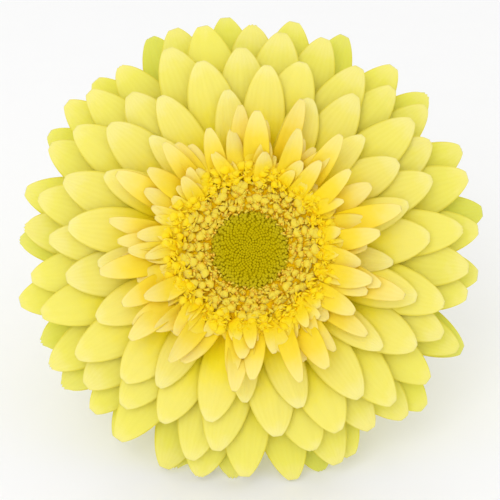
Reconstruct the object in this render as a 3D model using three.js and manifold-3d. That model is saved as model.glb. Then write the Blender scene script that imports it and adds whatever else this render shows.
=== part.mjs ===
// A cut gerbera lying on a table: one flower head on a bare stem. The stem rests on the
// surface, its neck curves upwards, and the face of the flower looks forwards and up.
// Millimetres, +Z up, the flower faces -Y and the stem runs back along +Y.

import * as THREE from 'three';
import { mergeVertices } from 'three/addons/utils/BufferGeometryUtils.js';
import Module from 'manifold-3d';

const wasm = await Module();
wasm.setup();

// ------------------------------------------------------------------ driving dimensions

const clearance = 0.3;             // air between neighbouring pieces

// How the flower lies
const faceTilt = THREE.MathUtils.degToRad(30);   // the face looks this far above level
const floorPress = 2.6;            // the surface pushes the lowest rays back by this much
const firstTurn = THREE.MathUtils.degToRad(338); // where the first floret stands

// Ligules: the strap-shaped petals of the ray and trans florets
const headRadius = 56;             // centre of the flower to the longest ray tips
const innerRayReach = 34;          // centre of the flower to the innermost ray tips
const innerRayWidth = 7.4;
const outerRayWidth = 11.4;
const outerTransReach = 29;
const outerTransWidth = 5.2;
const innerTransReach = 21.5;
const innerTransWidth = 3.8;
const clawWidth = 2.8;             // a ligule at its foot
const petalThickness = 0.36;
const petalCamber = 0.5;           // drop of a ligule's edges below its middle
const petalGap = 0.2;              // air between two ligules that cross
const reachSpread = 1.5;           // how unevenly the tips end, either way
const turnSpread = THREE.MathUtils.degToRad(1.2);

// How the ligules stack: all follow one arched layer shape, each at its own height and slope
const perWhorl = 21;
const outerFootHeight = -3;        // the lowest ray leaves the receptacle here
const archRise = 3;
const archLength = 5;
const tipDroop = 4.5;
const innerTransSlope = 0.62;
const outerTransSlope = 0.5;
const innerRaySlope = 0.24;
const outerRaySlope = 0.04;

// Disc
const eyeRadius = 9.3;             // closed buds in the middle
const floretRingWall = 1.4;        // the ring of open florets at its foot
const floretFlare = 2;             // how far that ring spreads over the receptacle's edge
const floretHeadDepth = 1.3;
const eyeDip = 1.1;                // the buds lie this far below the open florets
const domeRise = 0.9;

// Stem with the receptacle at its top
const collarWall = 0.9;            // the ring in which the feet of a joined whorl meet
const receptacleTop = 0.2;
const receptacleRim = 4.2;         // height of the upright side that carries the rays
const cupDepth = 13;
const neckRadius = 3;
const cutRadius = 3.8;
const stemLength = 230;
const stemBow = 5;                 // sideways bow of the stem

// Involucre: two rows of green bracts round the cup
const bractThickness = 0.7;
const innerBracts = { count: 26, foot: 0.5, notch: 4.5, tip: 8, splay: 1 };
const outerBracts = { count: 20, foot: 0.16, notch: 4, tip: 7.5, splay: 1.5 };

// The receptacle carries the buds, the ring of open florets and the collars side by side.
const floretInner = eyeRadius + clearance;
const floretOuter = floretInner + floretRingWall;
const collarInner = floretOuter + clearance;
const receptacleRadius = collarInner + collarWall;
const discRadius = receptacleRadius + floretFlare;

// ------------------------------------------------------------------------- materials

function finish(color, roughness) {
  return new THREE.MeshStandardMaterial({ color, roughness, metalness: 0 });
}

const stemGreen = finish(0x8da352, 0.6);
const bractGreen = finish(0x6f8b3c, 0.7);
const budGreen = finish(0xb09a10, 0.6);
const floretCream = finish(0xe0c25a, 0.6);
const transYellow = finish(0xf0d86a, 0.55);
const rayYellow = finish(0xf1e667, 0.55);

// --------------------------------------------------------------------- mesh helpers

/** A closed skin over a row of rings, each an array with as many points. */
function loft(rings) {
  const around = rings[0].length;
  const corners = rings.flat().flatMap((point) => point.toArray());
  const faces = [];
  for (let ring = 0; ring + 1 < rings.length; ring += 1) {
    for (let side = 0; side < around; side += 1) {
      const a = ring * around + side;
      const b = ring * around + (side + 1) % around;
      faces.push(a, b, b + around, a, b + around, a + around);
    }
  }
  const last = (rings.length - 1) * around;
  for (let side = 1; side + 1 < around; side += 1) {
    faces.push(0, side + 1, side);
    faces.push(last, last + side, last + side + 1);
  }
  return shell(corners, faces);
}

/** A closed skin round the flower's axis: section(turn) gives its outline in [radius, height]. */
function crown(steps, section) {
  const outlines = Array.from({ length: steps }, (unused, step) => {
    const turn = (step / steps) * Math.PI * 2;
    return section(turn).map(([radius, height]) => (
      new THREE.Vector3(radius * Math.cos(turn), radius * Math.sin(turn), height)));
  });
  const around = outlines[0].length;
  const faces = [];
  for (let step = 0; step < steps; step += 1) {
    const next = (step + 1) % steps;
    for (let side = 0; side < around; side += 1) {
      const following = (side + 1) % around;
      const a = step * around + side;
      const b = step * around + following;
      const c = next * around + following;
      const d = next * around + side;
      faces.push(a, b, c, a, c, d);
    }
  }
  return shell(outlines.flat().flatMap((point) => point.toArray()), faces);
}

/** Puts corners and faces together, turned so that every face points out. */
function shell(corners, faces) {
  const geometry = new THREE.BufferGeometry();
  geometry.setAttribute('position', new THREE.Float32BufferAttribute(corners, 3));
  geometry.setIndex(enclosedVolume(corners, faces) > 0 ? faces : faces.toReversed());
  return geometry;
}

function enclosedVolume(corners, faces) {
  const corner = (index) => new THREE.Vector3().fromArray(corners, index * 3);
  let volume = 0;
  for (let face = 0; face < faces.length; face += 3) {
    const [a, b, c] = [corner(faces[face]), corner(faces[face + 1]), corner(faces[face + 2])];
    volume += a.dot(b.cross(c)) / 6;
  }
  return volume;
}

/** Joins closed geometries that touch into one solid. */
function join(geometries) {
  const solids = geometries.map((geometry) => {
    const plain = geometry.clone();
    plain.deleteAttribute('normal');
    plain.deleteAttribute('uv');
    const merged = mergeVertices(plain);
    return new wasm.Manifold(new wasm.Mesh({
      numProp: 3,
      vertProperties: new Float32Array(merged.attributes.position.array),
      triVerts: new Uint32Array(merged.index.array),
    }));
  });
  const { vertProperties, triVerts } = solids.reduce((sum, solid) => sum.add(solid)).getMesh();
  const geometry = new THREE.BufferGeometry();
  geometry.setAttribute('position', new THREE.BufferAttribute(vertProperties, 3));
  geometry.setIndex(new THREE.BufferAttribute(triVerts, 1));
  return geometry;
}

function part(name, geometry, material) {
  const mesh = new THREE.Mesh(geometry, material);
  mesh.name = name;
  return mesh;
}

function between(low, high, share) {
  return low + (high - low) * share;
}

/** A fixed, uneven number from -1 to 1 for each floret, different for each salt. */
function wobble(index, salt) {
  const wave = Math.sin(index * 12.9898 + salt * 78.233) * 43758.5453;
  return 2 * (wave - Math.floor(wave)) - 1;
}

// ------------------------------------------------------- plan of the strap-shaped florets

// Florets follow each other at the golden angle. Those eight and thirteen places apart stand
// side by side, so thirteen steps of the stack have to clear one ligule and its curved edges.
const goldenAngle = Math.PI * (3 - Math.sqrt(5));
const neighbourPlaces = 13;
const camberShare = 0.7;
const stackStep = (petalThickness + camberShare * petalCamber + petalGap) / neighbourPlaces;
const whorlStep = petalThickness + clearance;

const tipShare = 0.985;            // the last section closes the outline just short of a point
const growth = 1.15;               // how a ligule widens from its foot
const roundness = 0.62;            // how bluntly it closes at the tip
const widest = growth / (growth + roundness);
const fullness = 1 / (widest ** growth * (1 - widest) ** roundness);

/** Share of its full width that a ligule has at a place from 0, foot, to 1, tip. */
function outline(place) {
  return fullness * place ** growth * (1 - place) ** roundness;
}

const whorls = [
  { name: 'trans_florets_inner', free: false, material: transYellow },
  { name: 'trans_florets_outer', free: false, material: transYellow },
  { name: 'ray_whorl_1', free: false, material: rayYellow },
  { name: 'ray_whorl_2', free: false, material: rayYellow },
  { name: 'ray_whorl_3', free: false, material: rayYellow },
  { name: 'ray_floret', free: true, material: rayYellow },
  { name: 'ray_floret', free: true, material: rayYellow },
];
const transWhorls = 2;
const firstRay = transWhorls * perWhorl;
const floretCount = whorls.length * perWhorl;

/** Height of the shared layer shape above a floret's foot, this far out from the receptacle. */
function archHeight(out) {
  const rise = archRise * (1 - Math.exp(-out / archLength));
  return rise - tipDroop * (out / (headRadius - receptacleRadius)) ** 3;
}

/** Height at which a floret leaves the receptacle, with the outermost one lowest. */
function footHeight(index) {
  const above = floretCount - 1 - index;
  const whorl = Math.floor(index / perWhorl);
  const joinedBelow = Math.max(0, whorls.length - 2 - whorl);
  return outerFootHeight + above * stackStep + joinedBelow * whorlStep;
}

/** Reach, width and slope before the unevenness and the surface have their say. */
function evenShape(index) {
  if (index < perWhorl) {
    return { reach: innerTransReach, width: innerTransWidth, slope: innerTransSlope };
  }
  if (index < firstRay) {
    return { reach: outerTransReach, width: outerTransWidth, slope: outerTransSlope };
  }
  const share = (index - firstRay) / (floretCount - 1 - firstRay);
  return {
    reach: between(innerRayReach, headRadius, 1 - (1 - share) ** 2),
    width: between(innerRayWidth, outerRayWidth, Math.sqrt(share)),
    slope: between(innerRaySlope, outerRaySlope, share),
  };
}

const restReach = headRadius - floorPress;
const restOut = restReach - receptacleRadius;
const restTip = outerFootHeight + outerRaySlope * restOut + archHeight(restOut);
const restUnderside = restTip - petalThickness / 2;
const headHeight = restReach * Math.cos(faceTilt) - restUnderside * Math.sin(faceTilt);

/** Everything one ligule needs: where it stands, how far it reaches and how it rises. */
function plan(index) {
  const { reach, width, slope } = evenShape(index);
  const turn = firstTurn + index * goldenAngle + wobble(index, 1) * turnSpread;
  const foot = footHeight(index);
  const height = (radius) => {
    const out = Math.max(0, radius - receptacleRadius);
    return foot + slope * out + archHeight(out);
  };
  const uneven = Math.min(headRadius, reach + wobble(index, 2) * reachSpread);
  const underside = height(uneven) - petalThickness / 2;
  const tipHalf = width / 2 * outline(tipShare);
  const corner = tipHalf * Math.abs(Math.cos(turn)) * Math.cos(faceTilt);
  const drop = -Math.sin(turn) * Math.cos(faceTilt);
  const room = (headHeight + underside * Math.sin(faceTilt) - corner) / drop;
  return { turn, width, height, reach: drop > 0 ? Math.min(uneven, room) : uneven };
}

// --------------------------------------------------------------------------- ligules

const stations = 5;
const corners = 6;

function ligule({ turn, width, height, reach }, foot) {
  const along = new THREE.Vector3(Math.cos(turn), Math.sin(turn), 0);
  const across = new THREE.Vector3(-Math.sin(turn), Math.cos(turn), 0);
  const rings = Array.from({ length: stations + 1 }, (unused, station) => {
    const place = 1 - (1 - station / stations) ** 1.6;
    const radius = between(foot, reach, place);
    const spread = outline(place * tipShare);
    const half = clawWidth / 2 * (1 - place) + width / 2 * spread;
    return Array.from({ length: corners }, (alsoUnused, corner) => {
      const angle = (corner / corners) * Math.PI * 2;
      const drop = petalCamber * spread * Math.cos(angle) ** 2;
      const lift = petalThickness / 2 * Math.sin(angle);
      return new THREE.Vector3(0, 0, height(radius) - drop + lift)
        .addScaledVector(along, radius)
        .addScaledVector(across, half * Math.cos(angle));
    });
  });
  return loft(rings);
}

const collarSides = 24;

/** The collar in which the florets of one joined whorl grow together at their feet. */
function collar(first) {
  const top = footHeight(first) + petalThickness / 2;
  const bottom = footHeight(first + perWhorl - 1) - petalThickness / 2;
  return crown(collarSides, () => [
    [collarInner, bottom], [receptacleRadius, bottom],
    [receptacleRadius, top], [collarInner, top],
  ]);
}

function whorlParts({ name, free, material }, whorl) {
  const first = whorl * perWhorl;
  const plans = Array.from({ length: perWhorl }, (unused, place) => plan(first + place));
  if (!free) {
    const ligules = plans.map((shape) => ligule(shape, receptacleRadius - collarWall / 2));
    return [part(name, join([collar(first), ...ligules]), material)];
  }
  const firstFree = whorls.findIndex((entry) => entry.free) * perWhorl;
  return plans.map((shape, place) => {
    const number = String(first - firstFree + place + 1).padStart(2, '0');
    return part(`${name}_${number}`, ligule(shape, receptacleRadius + clearance), material);
  });
}

// ------------------------------------------------------------------------------ disc

const discSides = 40;

function discParts() {
  const top = plan(0);
  const over = petalThickness / 2 + clearance;
  const base = receptacleTop + clearance;
  const flareFoot = top.height(receptacleRadius) + over;
  const flare = top.height(discRadius) + over;
  const florets = crown(discSides, () => [
    [floretInner, base], [floretOuter, base], [floretOuter, flareFoot],
    [discRadius, flare], [discRadius - 0.4, flare + floretHeadDepth * 0.6],
    [(discRadius + floretInner) / 2, flare + floretHeadDepth],
    [floretInner, flare + floretHeadDepth * 0.5],
  ]);
  const domeEdge = flare - eyeDip;
  const domeSteps = 6;
  const dome = Array.from({ length: domeSteps + 1 }, (unused, step) => {
    const angle = (step / domeSteps) * Math.PI / 2;
    return new THREE.Vector2(eyeRadius * Math.cos(angle), domeEdge + domeRise * Math.sin(angle));
  });
  dome[domeSteps].x = 0;
  const buds = new THREE.LatheGeometry(
    [new THREE.Vector2(0, base), new THREE.Vector2(eyeRadius, base), ...dome], discSides);
  buds.rotateX(Math.PI / 2);
  return [part('disc_buds', buds, budGreen), part('disc_florets', florets, floretCream)];
}

// ---------------------------------------------------------------- cup and its bracts

const cupTop = receptacleTop - receptacleRim;
const cupBottom = cupTop - cupDepth;

/** Radius of the cup under the rays, from 0 at the neck to 1 at the rim. */
function cupRadius(share) {
  return between(neckRadius, receptacleRadius, Math.sin(share * Math.PI / 2) ** 0.9);
}

const wallSteps = 3;

/** A row of bracts: a wall that follows the cup, and whose top edge runs out in points. */
function bractRow({ count, foot, notch, tip, splay }, layer) {
  const offset = clearance + layer * (bractThickness + clearance);
  const footZ = between(cupBottom, cupTop, foot);
  const inside = Array.from({ length: wallSteps + 1 }, (unused, step) => {
    const height = footZ + notch * (step / wallSteps);
    return [cupRadius(Math.min(1, (height - cupBottom) / cupDepth)) + offset, height];
  });
  const outside = inside.map(([radius, height]) => [radius + bractThickness, height]);
  const [rimR, rimZ] = inside.at(-1);
  return crown(count * 2, (turn) => {
    const peak = 0.5 + 0.5 * Math.cos(turn * count);
    const tipZ = rimZ + 0.4 + (tip - notch) * 0.5 * peak;
    const tipR = rimR + splay * peak + 0.2;
    const point = [[tipR + bractThickness * 0.8, tipZ], [tipR, tipZ + 0.1]];
    return [...outside, ...point, ...inside.toReversed()];
  });
}

// ------------------------------------------------------------------------------ stem

const stemSides = 14;
const flatShare = Math.cos(Math.PI / stemSides);   // the flat below against the full radius

/** Centre line of the stem: [point, radius] at a length down from the neck. */
function stemLine() {
  const neck = new THREE.Vector3(0, 0, cupBottom)
    .applyAxisAngle(new THREE.Vector3(1, 0, 0), Math.PI / 2 - faceTilt)
    .add(new THREE.Vector3(0, 0, headHeight));
  const bend = (neck.z - cutRadius * flatShare) / (1 - Math.cos(faceTilt));
  const bendLength = bend * faceTilt;
  return (length) => {
    const radius = between(neckRadius, cutRadius, Math.min(1, length / bendLength));
    const dip = faceTilt * Math.max(0, 1 - length / bendLength);
    const beyond = Math.max(0, length - bendLength);
    const bow = stemBow * (1 - Math.cos((length / stemLength) * Math.PI * 2)) / 2;
    const y = neck.y + bend * (Math.sin(faceTilt) - Math.sin(dip)) + beyond;
    const z = neck.z - bend * (Math.cos(dip) - Math.cos(faceTilt));
    return [new THREE.Vector3(bow, y, z), radius];
  };
}

function stemPart() {
  const line = stemLine();
  const steps = 22;
  const ringAt = (centre, ahead, radius) => {
    const side = new THREE.Vector3(1, 0, 0);
    const up = new THREE.Vector3().crossVectors(side, ahead).normalize();
    side.crossVectors(ahead, up).normalize();
    return Array.from({ length: stemSides }, (unused, corner) => {
      const angle = (corner / stemSides) * Math.PI * 2;
      return centre.clone()
        .addScaledVector(side, radius * Math.cos(angle))
        .addScaledVector(up, radius * Math.sin(angle));
    });
  };
  const rings = [];
  for (let step = steps; step > 0; step -= 1) {
    const length = (step / steps) * stemLength;
    const [centre, radius] = line(length);
    const [behind] = line(length - 0.5);
    rings.push(ringAt(centre, behind.clone().sub(centre), radius));
  }
  const axis = new THREE.Vector3(0, -Math.cos(faceTilt), Math.sin(faceTilt));
  const head = new THREE.Vector3(0, 0, headHeight);
  const cupSteps = 6;
  for (let step = 0; step <= cupSteps; step += 1) {
    const share = step / cupSteps;
    const centre = head.clone().addScaledVector(axis, between(cupBottom, cupTop, share));
    rings.push(ringAt(centre, axis, cupRadius(share)));
  }
  rings.push(ringAt(head.clone().addScaledVector(axis, receptacleTop), axis, receptacleRadius));
  return part('stem', loft(rings), stemGreen);
}

// -------------------------------------------------------------------------- assembly

const flowerHead = new THREE.Group();
flowerHead.add(
  ...discParts(),
  ...whorls.flatMap(whorlParts),
  part('involucre_inner_bracts', bractRow(innerBracts, 0), bractGreen),
  part('involucre_outer_bracts', bractRow(outerBracts, 1), bractGreen),
);
flowerHead.rotation.x = Math.PI / 2 - faceTilt;
flowerHead.position.z = headHeight;

const gerbera = new THREE.Group();
gerbera.name = 'cut_gerbera';
gerbera.add(flowerHead, stemPart());

// The origin is the middle of the outline on the surface.
const box = new THREE.Box3().setFromObject(gerbera, true);
const middle = box.getCenter(new THREE.Vector3());
gerbera.position.set(-middle.x, -middle.y, -box.min.z);
gerbera.updateMatrixWorld(true);

export default gerbera;
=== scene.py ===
"""Looks of a cut gerbera that lies on a table, built around its fixed frame.

Every strap-shaped floret, disc floret, bud and bract is a shape of its own, made by a Geometry
Nodes tree from named sizes. Head sizes are in millimetres in the flower's own axes: the face is
the XY plane, Z points out of the face. Head.place puts a finished mesh into the frame, in metres.
"""
import logging
import math
from dataclasses import dataclass, field
from enum import Enum
from typing import Callable, Union

import bpy
from mathutils import Matrix, Vector


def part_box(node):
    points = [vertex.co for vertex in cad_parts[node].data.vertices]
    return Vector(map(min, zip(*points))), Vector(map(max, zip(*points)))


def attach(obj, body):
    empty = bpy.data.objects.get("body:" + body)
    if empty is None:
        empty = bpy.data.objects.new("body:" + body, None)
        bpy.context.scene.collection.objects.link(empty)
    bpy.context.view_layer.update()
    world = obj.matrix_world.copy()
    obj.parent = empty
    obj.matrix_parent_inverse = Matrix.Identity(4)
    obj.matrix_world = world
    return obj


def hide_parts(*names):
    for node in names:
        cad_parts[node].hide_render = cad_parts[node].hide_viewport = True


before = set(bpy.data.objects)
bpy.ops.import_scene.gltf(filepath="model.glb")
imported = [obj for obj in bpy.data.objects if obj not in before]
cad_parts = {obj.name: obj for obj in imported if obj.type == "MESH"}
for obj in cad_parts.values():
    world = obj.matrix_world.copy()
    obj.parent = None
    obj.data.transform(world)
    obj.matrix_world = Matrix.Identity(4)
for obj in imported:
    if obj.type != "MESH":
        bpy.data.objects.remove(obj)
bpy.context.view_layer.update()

log = logging.getLogger("gerbera")

MM = 0.001
BODY = "root"
WELD = 0.0005    # mm: points closer than this become one
GOLDEN_ANGLE = math.pi * (3 - math.sqrt(5))
Colour = tuple[float, float, float]


# ---------------------------------------------------------------------------- numbers


def between(low: float, high: float, share: float) -> float:
    """Return the value a share of the way from low to high."""
    return low + (high - low) * share


def wobble(index: int, salt: float) -> float:
    """Return a fixed, uneven number from -1 to 1 for a floret, different for each salt."""
    wave = math.sin(index * 12.9898 + salt * 78.233) * 43758.5453
    return 2 * (wave - math.floor(wave)) - 1


def paint(red: int, green: int, blue: int) -> Colour:
    """Return the linear colour of a screen colour given in steps from 0 to 255."""
    shares = (red / 255, green / 255, blue / 255)
    return tuple(c / 12.92 if c <= 0.04045 else ((c + 0.055) / 1.055) ** 2.4 for c in shares)


# ------------------------------------------------------------------------- node trees


def joined(operation: str, swapped: bool = False) -> Callable[["Num", "Value"], "Num"]:
    """Return a method that adds a math node for a number and one other value.

    Args:
        operation: The math node's operation.
        swapped: Whether the other value comes first.

    Returns:
        The method.
    """
    def method(number: "Num", other: "Value") -> "Num":
        """Return the node's result."""
        pair = (other, number) if swapped else (number, other)
        return number.math(operation, *pair)
    return method


def alone(operation: str) -> Callable[["Num"], "Num"]:
    """Return a method that adds a math node for one number.

    Args:
        operation: The math node's operation.

    Returns:
        The method.
    """
    def method(number: "Num") -> "Num":
        """Return the node's result."""
        return number.math(operation, number)
    return method


class Num:
    """A number inside a node tree. Arithmetic on it adds math nodes to the tree."""

    def __init__(self, tree: bpy.types.NodeTree, socket: bpy.types.NodeSocket) -> None:
        """Wrap the output, socket, of a node in a tree."""
        self.tree = tree
        self.socket = socket

    def math(self, operation: str, *values: "Value") -> "Num":
        """Add a math node.

        Args:
            operation: The math node's operation.
            values: Everything that goes into the node, in order.

        Returns:
            The node's result.
        """
        node = self.tree.nodes.new("ShaderNodeMath")
        node.operation = operation
        for slot, value in enumerate(values):
            if isinstance(value, Num):
                self.tree.links.new(value.socket, node.inputs[slot])
            else:
                node.inputs[slot].default_value = value
        return Num(self.tree, node.outputs[0])

    __add__, __radd__ = joined("ADD"), joined("ADD", swapped=True)
    __sub__, __rsub__ = joined("SUBTRACT"), joined("SUBTRACT", swapped=True)
    __mul__, __rmul__ = joined("MULTIPLY"), joined("MULTIPLY", swapped=True)
    __truediv__, __pow__ = joined("DIVIDE"), joined("POWER")
    least, most, above = joined("MINIMUM"), joined("MAXIMUM"), joined("GREATER_THAN")
    sin, cos, exp = alone("SINE"), alone("COSINE"), alone("EXPONENT")
    root, size = alone("SQRT"), alone("ABSOLUTE")

    def __neg__(self) -> "Num":
        """Return the number with its sign turned."""
        return self * -1.0

    def bell(self, middle: float, spread: float) -> "Num":
        """Return a bell curve of this number, 1 at its middle."""
        off = (self - middle) / spread
        return (-(off * off)).exp()

    def ramp(self, start: float, end: float) -> "Num":
        """Return a smooth step of this number, from 0 at start to 1 at end."""
        share = self.part(start, end)
        return share * share * (3.0 - 2.0 * share)

    def part(self, start: float, end: float) -> "Num":
        """Return how far this number has come from start, 0, to end, 1."""
        return ((self - start) / (end - start)).most(0.0).least(1.0)

    def inside(self, rise: float, fall: float) -> "Num":
        """Return 1 from rise to fall, and less and less towards 0 at 0 and at 1."""
        return self.ramp(0.0, rise) * (1.0 - self.ramp(fall, 1.0))


Value = Union[Num, float]


def arc(length: Num, pitch: Num, curl: Num, place: Num) -> tuple[Num, Num, Num]:
    """Return a place on an arc that curls evenly.

    Args:
        length: The arc's length.
        pitch: The angle at which it leaves its foot.
        curl: How much the angle changes to its tip.
        place: The share of the way along.

    Returns:
        How far out the place is, how high, and the angle there.
    """
    now = pitch + curl * place
    radius = length / curl
    return radius * (now.sin() - pitch.sin()), radius * (pitch.cos() - now.cos()), now


class Graph:
    """A node tree that is being put together."""

    def __init__(self, tree: bpy.types.NodeTree) -> None:
        """Start with a tree to add nodes to."""
        self.tree = tree

    def add(self, kind: str, feeds: dict[str, object], **settings: object) -> bpy.types.Node:
        """Add a node.

        Args:
            kind: The node's type name.
            feeds: What goes into its inputs, by their names.
            settings: The node's own settings.

        Returns:
            The node.
        """
        node = self.tree.nodes.new(kind)
        for setting, value in settings.items():
            setattr(node, setting, value)
        for key, value in feeds.items():
            socket = next(s for s in node.inputs if s.enabled and s.name == key)
            if isinstance(value, Num):
                self.tree.links.new(value.socket, socket)
            elif isinstance(value, bpy.types.NodeSocket):
                self.tree.links.new(value, socket)
            else:
                socket.default_value = value
        return node

    def number(self, socket: bpy.types.NodeSocket) -> Num:
        """Return a node's output as a number."""
        return Num(self.tree, socket)

    def vector(self, x: Value, y: Value, z: Value) -> bpy.types.NodeSocket:
        """Return three numbers as one vector."""
        return self.add("ShaderNodeCombineXYZ", {"X": x, "Y": y, "Z": z}).outputs[0]


class ShapeTree(Graph):
    """A Geometry Nodes tree with named sizes that is turned into plain meshes."""

    def __init__(self, name: str, sizes: dict[str, float]) -> None:
        """Make the tree and its inputs.

        Args:
            name: The tree's name.
            sizes: The name and usual value of each input.
        """
        super().__init__(bpy.data.node_groups.new(name, "GeometryNodeTree"))
        face = self.tree.interface
        face.new_socket("Geometry", in_out="OUTPUT", socket_type="NodeSocketGeometry")
        self.keys: dict[str, str] = {}
        for label, usual in sizes.items():
            item = face.new_socket(label, in_out="INPUT", socket_type="NodeSocketFloat")
            item.default_value = usual
            self.keys[label] = item.identifier
        item = face.new_socket("finish", in_out="INPUT", socket_type="NodeSocketMaterial")
        self.keys["finish"] = item.identifier
        self.entry = self.tree.nodes.new("NodeGroupInput")

    def take(self, label: str) -> Num:
        """Return one of the tree's named sizes."""
        return Num(self.tree, self.entry.outputs[label])

    def keep(
            self, geometry: bpy.types.NodeSocket, label: str, value: Value,
            domain: str = "POINT") -> bpy.types.NodeSocket:
        """Store a number for the finish to read.

        Args:
            geometry: What it is stored on.
            label: The name it is read by.
            value: The number.
            domain: Whether each POINT or each INSTANCE has its own.

        Returns:
            The geometry with the number on it.
        """
        return self.add(
            "GeometryNodeStoreNamedAttribute",
            {"Geometry": geometry, "Name": label, "Value": value},
            data_type="FLOAT", domain=domain).outputs[0]

    def sheet(self, around: int, along: int) -> tuple[bpy.types.NodeSocket, Num, Num]:
        """Add a flat grid whose corners keep their place as the piece's own UV map.

        Args:
            around: Steps round the section.
            along: Steps from the foot to the tip.

        Returns:
            The grid, the turn round the section and the share of the way along.
        """
        grid = self.add("GeometryNodeMeshGrid", {
            "Size X": 1.0, "Size Y": 1.0, "Vertices X": around + 1, "Vertices Y": along + 1})
        mapped = self.add(
            "GeometryNodeStoreNamedAttribute",
            {"Geometry": grid.outputs["Mesh"], "Name": "UVMap", "Value": grid.outputs["UV Map"]},
            data_type="FLOAT2", domain="CORNER")
        place = self.add("GeometryNodeInputPosition", {})
        split = self.add("ShaderNodeSeparateXYZ", {"Vector": place.outputs[0]})
        turn = (self.number(split.outputs["X"]) + 0.5) * math.tau
        share = (self.number(split.outputs["Y"]) + 0.5).most(0.0).least(1.0)
        return mapped.outputs[0], turn, share

    def close(
            self, geometry: bpy.types.NodeSocket,
            position: bpy.types.NodeSocket) -> bpy.types.NodeSocket:
        """Move the grid's points to their places and weld the seam and both ends.

        Args:
            geometry: The flat grid.
            position: Where each of its points goes.

        Returns:
            The closed shape.
        """
        moved = self.add("GeometryNodeSetPosition", {"Geometry": geometry, "Position": position})
        welded = self.add(
            "GeometryNodeMergeByDistance", {"Geometry": moved.outputs[0], "Distance": WELD})
        return welded.outputs[0]

    def end(self, geometry: bpy.types.NodeSocket) -> None:
        """Finish the tree: smooth faces, real geometry and the finish.

        Args:
            geometry: What the tree has made.
        """
        smooth = self.add("GeometryNodeSetShadeSmooth", {"Geometry": geometry})
        real = self.add("GeometryNodeRealizeInstances", {"Geometry": smooth.outputs[0]})
        coated = self.add("GeometryNodeSetMaterial", {
            "Geometry": real.outputs[0], "Material": self.entry.outputs["finish"]})
        result = self.tree.nodes.new("NodeGroupOutput")
        self.tree.links.new(coated.outputs[0], result.inputs[0])

    def piece(self, name: str, finish: bpy.types.Material, **sizes: float) -> bpy.types.Object:
        """Make one piece with a plain mesh.

        Args:
            name: The piece's name.
            finish: Its material.
            sizes: The sizes that differ from the usual ones.

        Returns:
            The piece, still in the tree's own axes.
        """
        piece = bpy.data.objects.new(name, bpy.data.meshes.new(name))
        bpy.context.scene.collection.objects.link(piece)
        shaper = piece.modifiers.new("shape", "NODES")
        shaper.node_group = self.tree
        for label, value in {"finish": finish, **sizes}.items():
            shaper[self.keys[label]] = value
        depsgraph = bpy.context.evaluated_depsgraph_get()
        mesh = bpy.data.meshes.new_from_object(
            piece.evaluated_get(depsgraph), preserve_all_data_layers=True, depsgraph=depsgraph)
        mesh.name = name
        mesh.materials.clear()
        mesh.materials.append(finish)
        mesh.polygons.foreach_set("material_index", [0] * len(mesh.polygons))
        piece.modifiers.clear()
        piece.data = mesh
        return piece


# ------------------------------------------------------------------------------ straps


@dataclass(frozen=True)
class Outline:
    """How the width of a strap changes from its foot to its tip."""

    growth: float = 1.15
    roundness: float = 0.62
    close: float = 0.985

    def share(self, place: Num) -> Num:
        """Return how wide the strap is at a place.

        Args:
            place: The place, from 0 at the foot to 1 at the tip.

        Returns:
            The share of the full width.
        """
        widest = self.growth / (self.growth + self.roundness)
        fullness = 1 / (widest ** self.growth * (1 - widest) ** self.roundness)
        inside = place * self.close
        return inside ** self.growth * (1.0 - inside) ** self.roundness * fullness


@dataclass(frozen=True)
class Mesh:
    """How finely a strap is divided."""

    around: int
    along: int


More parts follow.
